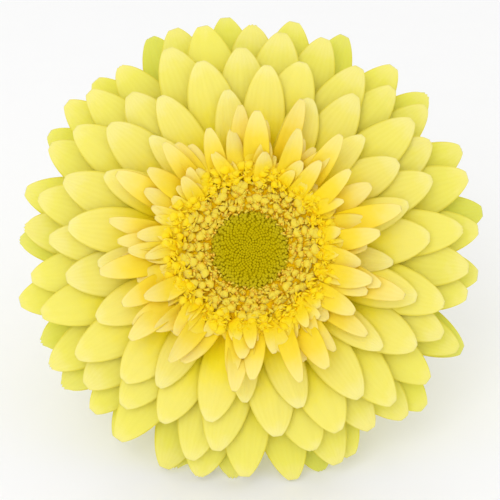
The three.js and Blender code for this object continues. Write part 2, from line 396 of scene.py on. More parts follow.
class StrapTree(ShapeTree):
    """A thin strap with rounded edges: a petal, a lip or a bract.

    Its foot is near the origin, it runs out along X and bends in the XZ plane, Y is across it.
    """

    SIZES = {
        "width": 10.0, "claw": 2.8, "thickness": 0.36, "camber": 0.5, "groove": 0.0,
        "twist": 0.0, "sway": 0.0, "ripple": 0.0, "teeth": 0.0, "seed": 0.0,
        "tone": 0.0, "rank": 0.0}
    CROWDING = 1.6          # stations crowd towards the tip, where the outline turns fastest
    AHEAD = 0.004           # how far ahead a second point is taken to find the direction
    GROOVE_AT = 0.36        # where the two grooves run, as a share of the half width
    GROOVE_WIDTH = 0.16
    RIPPLES = 7.0           # how fast the edge waves along the strap
    TEETH = 1.5             # waves of the ragged tip, in half turns across the strap
    TOOTH_CLOSENESS = 22.0  # how close to the tip the teeth begin
    ROUNDED = (0.04, 0.97)  # places between which the strap has its full thickness
    RIPPLE_LAG = 0.9        # how much the edge's wave slants from one side to the other

    def __init__(self, name: str, sizes: dict[str, float], outline: Outline, mesh: Mesh) -> None:
        """Make the tree.

        Args:
            name: The tree's name.
            sizes: The sizes of its centre line, with their usual values.
            outline: How its width changes.
            mesh: How finely it is divided.
        """
        super().__init__(name, {**self.SIZES, **sizes})
        flat, turn, share = self.sheet(mesh.around, mesh.along)
        place = 1.0 - (1.0 - share) ** self.CROWDING
        closed = self.close(flat, self.section(turn, place, outline.share(place)))
        for label in ("tone", "rank"):
            closed = self.keep(closed, label, self.take(label))
        self.end(closed)

    def line(self, place: Num) -> tuple[Num, Num]:
        """Return how far out and how high the centre line is at a place."""
        raise NotImplementedError

    def section(self, turn: Num, place: Num, spread: Num) -> bpy.types.NodeSocket:
        """Return where each point of the skin is.

        Args:
            turn: The turn round the section.
            place: The place along the strap.
            spread: The share of its full width there.

        Returns:
            The position.
        """
        x, z = self.line(place)
        next_x, next_z = self.line(place + self.AHEAD)
        run = next_x - x
        climb = next_z - z
        length = (run * run + climb * climb).root()
        ahead = run / length
        lift = climb / length
        across = turn.cos()
        half = self.take("claw") * (1.0 - place) * 0.5 + self.take("width") * spread * 0.5
        skin = turn.sin() * place.inside(*self.ROUNDED) * self.take("thickness") * 0.5
        grooves = across.size().bell(self.GROOVE_AT, self.GROOVE_WIDTH)
        wave = (place * self.RIPPLES + self.take("seed") + across * self.RIPPLE_LAG).sin()
        over = (skin - across * across * spread * self.take("camber")
                - grooves * spread * self.take("groove")
                + wave * across * across * spread * self.take("ripple"))
        twist = self.take("twist") * place
        side = across * half * twist.cos() - over * twist.sin()
        up = across * half * twist.sin() + over * twist.cos()
        ragged = (across * (self.TEETH * math.pi)).cos()
        back = (1.0 - ragged * ragged + across * across) * self.take("teeth")
        back = back * place ** self.TOOTH_CLOSENESS
        return self.vector(
            x - lift * up - ahead * back,
            side + self.take("sway") * place * place,
            z + ahead * up - lift * back)


class RayTree(StrapTree):
    """A ligule that lies in the head's stack: up over the arch, then out and down to its tip."""

    def __init__(self, arch: "Arch") -> None:
        """Make the tree.

        Args:
            arch: The layer shape that the ligules follow.
        """
        self.arch = arch
        sizes = {"start": 12.5, "reach": 50.0, "foot": 0.0, "slope": 0.1, "lift": 0.0}
        super().__init__("ray ligule", sizes, Outline(1.06, 0.66), Mesh(36, 44))

    def line(self, place: Num) -> tuple[Num, Num]:
        """Return a point on the layer shape that all the ligules share.

        Args:
            place: The place along the ligule.

        Returns:
            How far out the point is and how high.
        """
        start = self.take("start")
        x = start + (self.take("reach") - start) * place
        out = (x - self.arch.edge).most(0.0)
        rise = (1.0 - (out / -self.arch.length).exp()) * self.arch.rise
        droop = (out / self.arch.span) ** 3.0 * self.arch.droop
        height = self.take("foot") + self.take("slope") * out + rise - droop
        return x, height + self.take("lift") * place ** 3.0


class BladeTree(StrapTree):
    """A strap that leaves its foot at a pitch and curls evenly."""

    def __init__(self, name: str, outline: Outline, mesh: Mesh) -> None:
        """Make the tree under a name, with an outline and a mesh."""
        super().__init__(name, {"length": 10.0, "pitch": 0.8, "curl": -0.9}, outline, mesh)

    def line(self, place: Num) -> tuple[Num, Num]:
        """Return the point on the circular arc that the blade follows."""
        return arc(self.take("length"), self.take("pitch"), self.take("curl"), place)[:2]


class BractTree(StrapTree):
    """A bract that follows the cup and splays at its tip."""

    LIFTING = (-0.1, 0.3)   # places between which a bract lifts off the cup

    def __init__(self, cup: "Cup") -> None:
        """Make the tree.

        Args:
            cup: The cup that the bracts follow.
        """
        self.cup = cup
        sizes = {"start": 0.5, "length": 8.0, "offset": 0.3, "splay": 1.0}
        super().__init__("bract", sizes, Outline(0.5, 0.7), Mesh(20, 20))

    def line(self, place: Num) -> tuple[Num, Num]:
        """Return a point over the cup's own outline.

        Args:
            place: The place along the bract.

        Returns:
            How far out the point is and how high.
        """
        share = self.take("start") + self.take("length") / self.cup.depth * place
        radius = self.cup.radius_at(share.least(1.0))
        height = self.cup.bottom + share * self.cup.depth
        lifted = self.take("offset") * place.ramp(*self.LIFTING)
        return radius + lifted + self.take("splay") * place ** 3.0, height


# ---------------------------------------------------------------------------- finishes


class Surface(Graph):
    """A finish that is being put together round one shader."""

    def __init__(self, name: str) -> None:
        """Start a material with one Principled shader.

        Args:
            name: The material's name.
        """
        self.material = bpy.data.materials.new(name)
        self.material.use_nodes = True
        super().__init__(self.material.node_tree)
        self.shader = self.tree.nodes["Principled BSDF"]

    def fix(self, **values: float) -> None:
        """Set the shader's own values, by input name with spaces as underscores."""
        for label, value in values.items():
            self.shader.inputs[label.replace("_", " ")].default_value = value

    def glow(self, weight: float, depth: float) -> None:
        """Let a share of the light, weight, into thin tissue, as deep as depth in metres."""
        self.fix(Subsurface_Weight=weight, Subsurface_Scale=depth)
        self.shader.inputs["Subsurface Radius"].default_value = TISSUE

    def lay(self, share: Value, low: "Tint", high: "Tint") -> bpy.types.NodeSocket:
        """Return the colour a share of the way from low to high.

        Args:
            share: The share, from 0 to 1.
            low: The colour at 0, as a colour or a node's output.
            high: The colour at 1.

        Returns:
            The colour.
        """
        low, high = ((*c, 1.0) if isinstance(c, tuple) else c for c in (low, high))
        node = self.add(
            "ShaderNodeMix", {"Factor": share, "A": low, "B": high},
            data_type="RGBA", clamp_factor=True)
        return next(socket for socket in node.outputs if socket.enabled)

    def held(self, label: str) -> Num:
        """Return a number that is stored on the piece's points."""
        node = self.add("ShaderNodeAttribute", {}, attribute_name=label)
        return self.number(node.outputs["Fac"])

    def own_map(self) -> tuple[Num, Num]:
        """Read the piece's own UV map.

        Returns:
            The share of the way round the section and the share of the way along.
        """
        node = self.add("ShaderNodeUVMap", {}, uv_map="UVMap")
        split = self.add("ShaderNodeSeparateXYZ", {"Vector": node.outputs[0]})
        return self.number(split.outputs[0]), self.number(split.outputs[1])

    def grain(self, scale: float, detail: float = 3.0) -> Num:
        """Add fine noise in the piece's own space.

        Args:
            scale: How many grains there are to a metre.
            detail: How many finer layers are added.

        Returns:
            The noise, from 0 to 1.
        """
        place = self.add("ShaderNodeTexCoord", {})
        noise = self.add("ShaderNodeTexNoise", {
            "Vector": place.outputs["Object"], "Scale": scale, "Detail": detail})
        return self.number(noise.outputs[0])

    def emboss(self, height: Value, strength: float, depth: float) -> None:
        """Give the surface fine relief.

        Args:
            height: The height, from 0 to 1.
            strength: How strongly it shows.
            depth: How deep it is, in metres.
        """
        node = self.add("ShaderNodeBump", {
            "Strength": strength, "Distance": depth, "Height": height})
        self.tree.links.new(node.outputs[0], self.shader.inputs["Normal"])

    def colour(self, socket: bpy.types.NodeSocket) -> None:
        """Give the shader its colour."""
        self.tree.links.new(socket, self.shader.inputs["Base Color"])


Tint = Union[Colour, bpy.types.NodeSocket]
TISSUE = (1.0, 0.8, 0.15)    # how far red, green and blue go in petal tissue, as shares
MOTTLE = 420.0               # soft blotches of a petal to a metre
GRAIN = 2600.0               # fine bumps of a petal's skin to a metre


@dataclass(frozen=True)
class PetalFinish:
    """Soft petal: golden foot and flushed lower half, partly its own colour and partly painted
    glow of light through the layers, paler tip, fine veins and a rim of painted shade along both
    edges.
    """

    name: str
    # foot and the lower half: partly the petal's own golden base, partly painted glow of light
    # passing through the petals
    foot: Colour
    flush_and_painted_glow: Colour
    middle: Colour
    old: Colour                    # the middle's colour at rank 1
    tip: Colour
    # painted shade: the darker outline along both edges of a strap, where overlapping petals shade
    # each other
    rim: Colour
    back: Colour
    outer: Union[Colour, None] = None    # what the lowest florets turn towards
    stops: tuple[float, float, float] = (0.34, 0.66, 0.8)    # where flush, middle and tip begin
    tips: tuple[float, float] = (1.0, 0.4)    # how far the tip's colour shows at rank 0 and 1
    crowding: float = StrapTree.CROWDING
    veins: float = 26.0            # veins across the blade
    vein_depth: float = 0.07       # how much the veins deepen the colour
    # how strongly the painted shade along both edges shows
    edge_shade_depth: float = 0.5
    back_depth: float = 0.6
    uneven: float = 0.16           # how unevenly one colour passes into the next
    roughness: float = 0.6
    gloss: float = 0.12
    glow: float = 0.15             # share of the light that goes in
    depth: float = 0.002           # how far light goes in, in metres

    def make(self) -> bpy.types.Material:
        """Put the finish together.

        Returns:
            The material.
        """
        surface = Surface(self.name)
        round_share, along = surface.own_map()
        across = (round_share * math.tau).cos()
        place = 1.0 - (1.0 - along).most(0.0) ** self.crowding
        mottle = surface.grain(MOTTLE) - 0.5
        tone = surface.held("tone")
        reach = place + mottle * self.uneven + tone * 0.05
        flush_at, middle_at, tip_at = self.stops
        rank = surface.held("rank")
        middle = surface.lay(rank, self.middle, self.old)
        # golden foot to lower half: the petal's own base colour, brightened and saturated as
        # painted glow of light through the petals
        body = surface.lay(reach.ramp(0.0, flush_at), self.foot, self.flush_and_painted_glow)
        body = surface.lay(reach.ramp(flush_at * 0.8, middle_at), body, middle)
        shown = rank * (self.tips[1] - self.tips[0]) + self.tips[0]
        body = surface.lay(reach.ramp(tip_at, 1.0) * shown, body, self.tip)
        if self.outer:
            lowest = rank.ramp(0.76, 1.0) * (tone * 0.5 + 0.5)
            body = surface.lay(lowest * 0.9, body, self.outer)
        body = surface.lay(round_share.above(0.5) * self.back_depth, body, self.back)
        lines = (across * self.veins + mottle * 2.2).cos() * 0.5 + 0.5
        shade = lines * self.vein_depth + mottle * 0.10 + tone * 0.08
        # painted shade along both edges towards rim, deepened further by the veins, mottle and
        # tone
        body = surface.lay(shade + across.size().ramp(0.88, 1.0) * self.edge_shade_depth, body, self.rim)
        surface.colour(body)
        surface.emboss(lines * 0.6 + surface.grain(GRAIN) * 0.4, 0.3, 0.0001)
        surface.fix(Roughness=self.roughness, Specular_IOR_Level=self.gloss)
        surface.glow(self.glow, self.depth)
        return surface.material


@dataclass(frozen=True)
class TissueFinish:
    """Plain mottled tissue: buds, floret tubes, the stem or a bract."""

    name: str
    low: Colour
    high: Colour
    end: Colour                    # colour towards the far end
    old: Union[Colour, None] = None    # what a piece of rank 1 turns towards
    edge: Union[Colour, None] = None   # colour along both edges of a strap
    end_begins: float = 0.7
    grain: float = 900.0           # grains to a metre
    streaks: float = 0.0           # lines round the piece
    roughness: float = 0.6
    glow: float = 0.15
    gloss: float = 0.06
    down: float = 0.0              # how downy it looks at grazing angles
    depth: float = 0.0012          # how far light goes in, in metres

    def make(self) -> bpy.types.Material:
        """Put the finish together.

        Returns:
            The material.
        """
        surface = Surface(self.name)
        round_share, along = surface.own_map()
        mottle = surface.grain(self.grain)
        lines = (round_share * (self.streaks * math.tau)).cos() * 0.5 + 0.5
        mixed = mottle * 0.75 + surface.held("tone") * 0.35 + lines * 0.15
        body = surface.lay(mixed, self.low, self.high)
        body = surface.lay(along.ramp(self.end_begins, 1.0), body, self.end)
        if self.old:
            body = surface.lay(surface.held("rank").ramp(0.6, 1.0) * 0.8, body, self.old)
        if self.edge:
            rim = (round_share * math.tau).cos().size().ramp(0.7, 1.0)
            body = surface.lay(rim * 0.75, body, self.edge)
        surface.colour(body)
        surface.emboss(mottle * 0.6 + lines * 0.4, 0.4, 0.0002)
        surface.fix(
            Roughness=self.roughness, Specular_IOR_Level=self.gloss, Sheen_Weight=self.down)
        surface.glow(self.glow, self.depth)
        return surface.material


class Petals(Enum):
    """Finishes of the strap-shaped florets and the lips."""

    # rim is painted shade along each strap's edges; the golden foot and lower half are partly
    # painted glow of light through the petals
    RAY = PetalFinish(
        "ray petal", foot=paint(252, 204, 0), flush_and_painted_glow=paint(250, 231, 12),
        middle=paint(243, 228, 116), old=paint(231, 225, 84), tip=paint(242, 231, 144),
        rim=paint(220, 200, 24), back=paint(226, 222, 80), outer=paint(206, 212, 84),
        stops=(0.52, 0.84, 0.86))
    TRANS = PetalFinish(
        "trans petal", foot=paint(248, 192, 0), flush_and_painted_glow=paint(246, 211, 4),
        middle=paint(246, 217, 34), old=paint(243, 216, 74), tip=paint(242, 225, 138),
        rim=paint(228, 190, 18), back=paint(243, 210, 30), veins=12.0,
        stops=(0.45, 0.86, 0.66), tips=(0.55, 0.9))
    GOLD = PetalFinish(
        "golden lip", foot=paint(250, 198, 0), flush_and_painted_glow=paint(248, 214, 12),
        middle=paint(248, 220, 50), old=paint(247, 219, 54), tip=paint(248, 228, 104),
        rim=paint(240, 200, 26), back=paint(247, 212, 38), veins=5.0, crowding=1.0)
    LIP = PetalFinish(
        "floret lip", foot=paint(214, 160, 8), flush_and_painted_glow=paint(232, 192, 22),
        middle=paint(236, 213, 70), old=paint(235, 209, 66), tip=paint(244, 234, 138),
        rim=paint(222, 184, 44), back=paint(232, 206, 78), veins=5.0, crowding=1.0,
        stops=(0.2, 0.42, 0.5))


class Tissues(Enum):
    """Finishes of everything else on the flower."""

    BUD = TissueFinish(
        "closed bud", low=paint(152, 132, 0), high=paint(194, 172, 0),
        end=paint(190, 170, 6), old=paint(200, 182, 26), end_begins=0.55, grain=2400.0,
        gloss=0.02)
    EYE = TissueFinish(
        "eye ground", low=paint(150, 132, 0), high=paint(174, 154, 0),
        end=paint(170, 150, 0), grain=1600.0, gloss=0.0)
    TUBE = TissueFinish(
        "floret tube", low=paint(206, 150, 8), high=paint(240, 190, 22),
        end=paint(246, 196, 34), grain=1800.0)
    ANTHER = TissueFinish(
        "anthers", low=paint(168, 98, 4), high=paint(218, 150, 14),
        end=paint(248, 206, 70), grain=3000.0)
    GROUND = TissueFinish(
        "floret ground", low=paint(226, 172, 0), high=paint(250, 206, 14),
        end=paint(244, 196, 6), grain=1400.0, gloss=0.0)
    STEM = TissueFinish(
        "stem skin", low=paint(112, 140, 62), high=paint(150, 172, 88),
        end=paint(186, 178, 116), end_begins=0.985, streaks=12.0, grain=300.0, gloss=0.3,
        down=0.3)
    BRACT = TissueFinish(
        "bract skin", low=paint(84, 116, 46), high=paint(128, 156, 70),
        end=paint(150, 140, 92), edge=paint(176, 186, 120), streaks=6.0, grain=700.0,
        gloss=0.2, down=0.4)


# -------------------------------------------------------------------- the head's shapes


@dataclass(frozen=True)
class Arch:
    """The layer shape that all the strap-shaped florets share, beyond the receptacle."""

    edge: float = 12.2
    rise: float = 3.0
    length: float = 5.0
    droop: float = 4.5
    span: float = 43.8

    def height(self, radius: float) -> float:
        """Return the height above a floret's foot, before its own slope."""
        out = max(0.0, radius - self.edge)
        return self.rise * (1 - math.exp(-out / self.length)) - self.droop * (out / self.span) ** 3


@dataclass(frozen=True)
class Cup:
    """The cup under the florets, from the neck of the stem to its rim."""

    bottom: float = -17.0
    depth: float = 13.0
    neck: float = 3.0
    rim: float = 12.2
    top: float = 0.2
    fullness: float = 0.9

    def radius_at(self, share: Num) -> Num:
        """Return the radius from 0 at the neck to 1 at the rim."""
        return (share * (math.pi / 2)).sin() ** self.fullness * (self.rim - self.neck) + self.neck


@dataclass(frozen=True)
class Head:
    """Where the flower head is, and how it faces."""

    tilt: float = math.radians(30)
    floret_outer: float = 11.0
    floret_base: float = 0.5

    def centre(self) -> Vector:
        """Work out the middle of the head from the fixed disc.

        Returns:
            The middle, in metres.
        """
        low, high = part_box("disc_florets")
        reach = (self.floret_outer * math.sin(self.tilt)
                 - self.floret_base * math.cos(self.tilt)) * MM
        depth = (self.floret_outer * math.cos(self.tilt)
                 - self.floret_base * math.sin(self.tilt)) * MM
        return Vector(((low.x + high.x) / 2, high.y - reach, low.z + depth))

    def face(self) -> Vector:
        """Return the direction that the face looks in."""
        return Vector((0, -math.cos(self.tilt), math.sin(self.tilt)))

    def axes(self) -> Matrix:
        """Return the move from millimetres in the head's axes to the frame."""
        turn = Matrix.Rotation(math.pi / 2 - self.tilt, 4, "X")
        return Matrix.Translation(self.centre()) @ turn @ Matrix.Scale(MM, 4)

    def place(self, piece: bpy.types.Object, where: Matrix, slot: str, *nodes: str) -> None:
        """Put a piece in its place on the head, with the fixed nodes it stands for."""
        piece.data.transform(self.axes() @ where)
        settle(piece, slot, *nodes)


def settle(piece: bpy.types.Object, slot: str, *nodes: str) -> None:
    """Join a finished piece to the body.

    Args:
        piece: The piece, in its place.
        slot: Not used.
        nodes: The fixed nodes it stands for.
    """
    piece.data.update()
    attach(piece, BODY)
    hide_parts(*nodes)


def spot(turn: float, radius: float, height: float, yaw: float = 0.0) -> Matrix:
    """Return the move to a place on the head, turned by yaw from pointing straight out."""
    out = Matrix.Translation((radius, 0, height)) @ Matrix.Rotation(yaw, 4, "Z")
    return Matrix.Rotation(turn, 4, "Z") @ out


@dataclass(frozen=True)
class Layers:
    """The stack of strap-shaped florets, as the fixed frame has it."""

    arch: Arch = field(default_factory=Arch)
    first_turn: float = math.radians(338)
    turn_spread: float = math.radians(1.2)
    reach_spread: float = 1.5
    per_whorl: int = 21
    whorls: int = 7
    step: float = 0.07
    whorl_step: float = 0.66
    lowest: float = -3.0
    reaches: tuple[float, float] = (34.0, 56.0)
    widths: tuple[float, float] = (7.4, 11.4)
    slopes: tuple[float, float] = (0.24, 0.04)
    half_thick: float = 0.18
    tip_share: float = 0.123       # the width that a tip still has, as a share of the whole

    @property
    def count(self) -> int:
        """Return how many florets there are in all."""
        return self.per_whorl * self.whorls

    @property
    def first_ray(self) -> int:
        """Return the number of the uppermost ray floret."""
        return 2 * self.per_whorl

    def turn(self, index: int) -> float:
        """Return a floret's angle round the head."""
        return self.first_turn + index * GOLDEN_ANGLE + wobble(index, 1) * self.turn_spread

    def foot(self, index: int) -> float:
        """Return the height at which a floret leaves the receptacle."""
        joined_below = max(0, self.whorls - 2 - index // self.per_whorl)
        return self.lowest + (self.count - 1 - index) * self.step + joined_below * self.whorl_step

    def rank(self, index: int) -> float:
        """Return a ray floret's place in the stack, from 0, uppermost, to 1, outermost."""
        return (index - self.first_ray) / (self.count - 1 - self.first_ray)

    def ray(self, index: int, head: Head) -> dict[str, float]:
        """Return the sizes of a ray floret.

        Args:
            index: The floret's number in the stack.
            head: The head, for its height above the surface.

        Returns:
            Foot, slope, width and reach, cut short where the surface is in the way.
        """
        rank = self.rank(index)
        slope = between(*self.slopes, rank)
        width = between(*self.widths, math.sqrt(rank))
        foot = self.foot(index)
        reach = between(*self.reaches, 1 - (1 - rank) ** 2)
        reach = min(self.reaches[1], reach + wobble(index, 2) * self.reach_spread)
        out = reach - self.arch.edge
        under = foot + slope * out + self.arch.height(reach) - self.half_thick
        turn = self.turn(index)
        corner = width / 2 * self.tip_share * abs(math.cos(turn)) * math.cos(head.tilt)
        drop = -math.sin(turn) * math.cos(head.tilt)
        if drop > 0:
            room = head.centre().z / MM + under * math.sin(head.tilt) - corner
            reach = min(reach, room / drop)
        return {"foot": foot, "slope": slope, "width": width, "reach": reach}


# ------------------------------------------------------------------- repeated small shapes


class CrowdTree(ShapeTree):
    """A tree that repeats one small closed shape over the disc, each a little different."""

    SIZES = {
        "count": 100.0, "inner": 0.0, "outer": 9.0, "spiral": 0.5, "height": 12.0,
        "rise": 0.0, "tilt": 0.0, "tilt_jitter": 0.1, "yaw_jitter": 0.1, "radius_jitter": 0.1,
        "size": 1.0, "inner_size": 1.0, "size_jitter": 0.1, "seed": 0.0}
    TURN_JITTER = 0.05
    STRETCH = 0.15          # how much taller or shorter than their size shapes may be

    def __init__(self, name: str, sizes: dict[str, float], mesh: Mesh) -> None:
        """Make the tree.

        Args:
            name: The tree's name.
            sizes: The sizes of the small shape, with their usual values.
            mesh: How finely the small shape is divided.
        """
        super().__init__(name, {**self.SIZES, **sizes})
        flat, turn, share = self.sheet(mesh.around, mesh.along)
        shape = self.close(flat, self.vector(*self.skin(turn, share)))
        self.end(self.crowd(shape))

    def skin(self, turn: Num, share: Num) -> tuple[Num, Num, Num]:
        """Return where a point is from its turn and share, with Z away from the disc."""
        raise NotImplementedError

    def uneven(self, salt: float, reach: Value) -> Num:
        """Add a number that differs from shape to shape.

        Args:
            salt: What sets this number apart from the shape's others.
            reach: How far it goes either way.

        Returns:
            The number.
        """
        node = self.add(
            "FunctionNodeRandomValue",
            {"Min": -1.0, "Max": 1.0, "Seed": self.take("seed") + salt}, data_type="FLOAT")
        return self.number(next(s for s in node.outputs if s.enabled)) * reach

    def crowd(self, shape: bpy.types.NodeSocket) -> bpy.types.NodeSocket:
        """Stand copies of the shape along a golden spiral over the disc.

        Args:
            shape: The small closed shape.

        Returns:
            The copies, each with its own tone and rank.
        """
        points = self.add("GeometryNodePoints", {"Count": self.take("count")})
        index = self.number(self.add("GeometryNodeInputIndex", {}).outputs[0])
        share = (index + 0.5) / self.take("count")
        inner = self.take("inner")
        spread = share ** self.take("spiral")
        radius = inner + (self.take("outer") - inner) * spread
        radius = radius + self.uneven(1, self.take("radius_jitter"))
        turn = index * GOLDEN_ANGLE + self.uneven(2, self.TURN_JITTER)
        level = (radius / self.take("outer")).least(1.0)
        height = self.take("height") + (1.0 - level * level).root() * self.take("rise")
        placed = self.add("GeometryNodeSetPosition", {
            "Geometry": points.outputs[0],
            "Position": self.vector(radius * turn.cos(), radius * turn.sin(), height)})
        lean = self.take("tilt") * spread + self.uneven(3, self.take("tilt_jitter"))
        size = self.take("size") * (
            self.take("inner_size") + (1.0 - self.take("inner_size")) * spread)
        size = size * (self.uneven(4, self.take("size_jitter")) + 1.0)
        stood = self.add("GeometryNodeInstanceOnPoints", {
            "Points": placed.outputs[0], "Instance": shape,
            "Rotation": self.vector(
                self.uneven(5, self.take("tilt_jitter")), lean,
                turn + self.uneven(6, self.take("yaw_jitter"))),
            "Scale": self.vector(size, size, size * (self.uneven(7, self.STRETCH) + 1.0))})
        told = self.keep(stood.outputs[0], "tone", self.uneven(8, 1.0), "INSTANCE")
        return self.keep(told, "rank", spread, "INSTANCE")


class GroundTree(ShapeTree):
    """A low ring or dome of tissue that the small florets stand in."""

    ROUND, SLANT = 41.0, 3.0     # bumps that follow each other round the ring
    OUTWARD, TWIST = 7.0, 9.0    # bumps that follow each other outwards
    SMOOTH_EDGE = 1.5            # mm from the inner edge to the first full bump

    def __init__(self) -> None:
        """Make the tree."""
        super().__init__("floret ground", {
            "inner": 0.0, "outer": 9.4, "height": 11.6, "rise": 0.9, "thick": 0.8,
            "bumps": 0.12})
        flat, turn, share = self.sheet(28, 120)
        azimuth = share * -math.tau
        inner, outer = self.take("inner"), self.take("outer")
        radius = (inner + outer) * 0.5 + (outer - inner) * 0.5 * turn.cos()
        level = (radius / outer).least(1.0)
        bump = (azimuth * self.ROUND + radius * self.SLANT).sin()
        bump = bump * (radius * self.OUTWARD + azimuth * self.TWIST).sin()
        bump = bump * (radius - inner).ramp(0.0, self.SMOOTH_EDGE)
        height = self.take("height") + (1.0 - level * level).root() * self.take("rise")
        height = height + turn.sin() * self.take("thick") + bump * self.take("bumps")
        closed = self.close(flat, self.vector(
            radius * azimuth.cos(), radius * azimuth.sin(), height))
        # the bumps' height is kept as tone: the ground is darker in the hollows between bumps and
        # paler on their tops
        self.end(self.keep(closed, "tone", bump))


class BudTree(CrowdTree):
    """Closed buds: five-sided knobs with a small pit where the lobes meet."""

    LOBES = 5.0
    LOBE_DEPTH = 0.14
    ROUNDNESS = 0.7         # below 1 the sides are fuller
    TOP_HEAVY = 0.25
    PIT_FROM = 0.72         # share of the way up where the pit begins
    SUNK = 0.6              # share of the bud that is below the place it stands on

    def __init__(self) -> None:
        """Make the tree."""
        super().__init__("closed buds", {"girth": 0.42, "tall": 0.55, "pit": 0.18}, Mesh(10, 4))

    def skin(self, turn: Num, share: Num) -> tuple[Num, Num, Num]:
        """Return a point of a bud that narrows to its foot and has a pit on top.

        Args:
            turn: The turn round the bud.
            share: The share of the way up.

        Returns:
            The point's X, Y and Z.
        """
        bulge = (share * math.pi).sin() ** self.ROUNDNESS * (1.0 + self.TOP_HEAVY * share)
        lobes = 1.0 + (turn * self.LOBES).cos() * self.LOBE_DEPTH * share
        girth = self.take("girth") * bulge * lobes
        pit = share.ramp(self.PIT_FROM, 1.0) * self.take("pit")
        height = (share - self.SUNK) * self.take("tall") * 2.0 - pit
        return girth * turn.cos(), girth * turn.sin(), height


class TubeTree(CrowdTree):
    """Upright tubes and anther columns that narrow, swell and close at the top."""

    ROUNDED = (0.06, 0.9)
    SWELLS_AT, SWELL_LENGTH = 0.75, 0.25

    def __init__(self, name: str) -> None:
        """Make the tree under a name."""
        sizes = {"girth": 0.4, "tall": 3.0, "swell": 0.4, "bend": 0.3}
        super().__init__(name, sizes, Mesh(8, 5))

    def skin(self, turn: Num, share: Num) -> tuple[Num, Num, Num]:
        """Return a point of a bent, swelling tube.

        Args:
            turn: The turn round the tube.
            share: The share of the way up.

        Returns:
            The point's X, Y and Z.
        """
        swell = self.take("swell") * share.bell(self.SWELLS_AT, self.SWELL_LENGTH)
        girth = self.take("girth") * (1.0 + swell) * share.inside(*self.ROUNDED)
        lean = self.take("bend") * share * share
        return girth * turn.cos() + lean, girth * turn.sin(), self.take("tall") * share


class LipTree(CrowdTree):
    """Lips of the open disc florets: short straps that stand up, curl out and roll back."""

    LOBES = 3.0
    NOTCH = 0.12            # mm between the lobes' ends and the bays
    OUTLINE = Outline(1.0, 0.34, 0.99)
    BLADE, CLAW = 0.42, 0.08    # half widths of the blade and its foot, as shares of the width
    ROUNDED = (0.08, 0.94)

    def __init__(self, name: str, mesh: Mesh) -> None:
        """Make the tree.

        Args:
            name: The tree's name.
            mesh: How finely one lip is divided.
        """
        sizes = {
            "length": 3.6, "wide": 2.2, "thick": 0.35, "pitch": 1.5, "curl": -3.6, "scoop": 0.3}
        super().__init__(name, sizes, mesh)

    def skin(self, turn: Num, share: Num) -> tuple[Num, Num, Num]:
        """Return a point of a strap that curls evenly from its foot to its lobed tip.

        Args:
            turn: The turn round the strap's section.
            share: The share of the way to its tip.

        Returns:
            The point's X, Y and Z.
        """
        x, z, now = arc(self.take("length"), self.take("pitch"), self.take("curl"), share)
        spread = self.OUTLINE.share(share)
        across = turn.cos()
        over = turn.sin() * share.inside(*self.ROUNDED) * self.take("thick") * 0.5
        over = over - across * across * spread * self.take("scoop")
        half = self.take("wide") * (spread * self.BLADE + self.CLAW)
        notch = (1.0 + (across * (self.LOBES * math.pi)).cos()) * self.NOTCH * share ** 6.0
        return (x - now.sin() * over - now.cos() * notch, across * half,
                z + now.cos() * over - now.sin() * notch)


# ---------------------------------------------------------------------- sub-assemblies


@dataclass
class RayFlorets:
    """The five whorls of large petals."""

    head: Head
    layers: Layers
    starts: tuple[float, float] = (11.9, 12.6)    # in the joined whorls and in the free ones
    claw: float = 2.8
    thickness: float = 0.34
    joined_whorls: int = 3
    slimmest: float = 0.76       # width of the uppermost petals, as a share of the planned one
    fuller: float = 0.09         # how much broader the middle whorls are than planned
    stray: float = 0.045         # how far a petal strays from its place in the spiral
    full_by: float = 0.18        # rank from which petals have their full width
    lifts: tuple[float, float] = (-1.9, -0.1)    # of the tips, in the top and bottom whorls
    lifted_by: float = 0.8       # rank from which tips have the second lift
    sways: float = 1.8

    def build(self) -> None:
        """Make every ray floret in its place."""
        tree = RayTree(self.layers.arch)
        finish = Petals.RAY.value.make()
        for index in range(self.layers.first_ray, self.layers.count):
            self.floret(index, tree, finish)
        log.info("ray florets: %d petals", self.layers.count - self.layers.first_ray)

    def floret(self, index: int, tree: RayTree, finish: bpy.types.Material) -> None:
        """Make one ray floret.

        Args:
            index: Its number in the stack.
            tree: The tree that shapes it.
            finish: Its material.
        """
        rank = self.layers.rank(index)
        number = index - self.layers.first_ray
        joined = number < self.joined_whorls * self.layers.per_whorl
        sizes = self.layers.ray(index, self.head)
        slim = between(self.slimmest, 1.0, min(1.0, rank / self.full_by))
        broad = 1 + self.fuller * math.sin(math.pi * rank)
        sizes["width"] *= slim * broad * (1 + 0.08 * wobble(index, 3))
        piece = tree.piece(
            f"ray_petal_{number + 1:03d}", finish, **sizes,
            start=self.starts[0] if joined else self.starts[1],
            lift=between(*self.lifts, min(1.0, rank / self.lifted_by)) + 0.4 * wobble(index, 4),
            claw=self.claw, thickness=self.thickness,
            camber=0.5 + 0.25 * wobble(index, 5),
            groove=0.2 + 0.08 * wobble(index, 6),
            twist=0.06 * wobble(index, 7), sway=self.sways * wobble(index, 8),
            ripple=0.10 + 0.06 * wobble(index, 9),
            teeth=0.55 * max(0.0, wobble(index, 10)) * rank,
            seed=3 * wobble(index, 11), tone=wobble(index, 12), rank=rank)
        turn = self.layers.turn(index) + self.stray * wobble(index, 13)
        self.head.place(piece, spot(turn, 0, 0), "ray_petal", self.node(number))

    def node(self, number: int) -> str:
        """Find the fixed node that a ray floret stands for.

        Args:
            number: The floret's number, from 0 for the uppermost.

        Returns:
            The node's name.
        """
        whorl, place = divmod(number, self.layers.per_whorl)
        if whorl < self.joined_whorls:
            return f"ray_whorl_{whorl + 1}"
        return f"ray_floret_{number - self.joined_whorls * self.layers.per_whorl + 1:02d}"


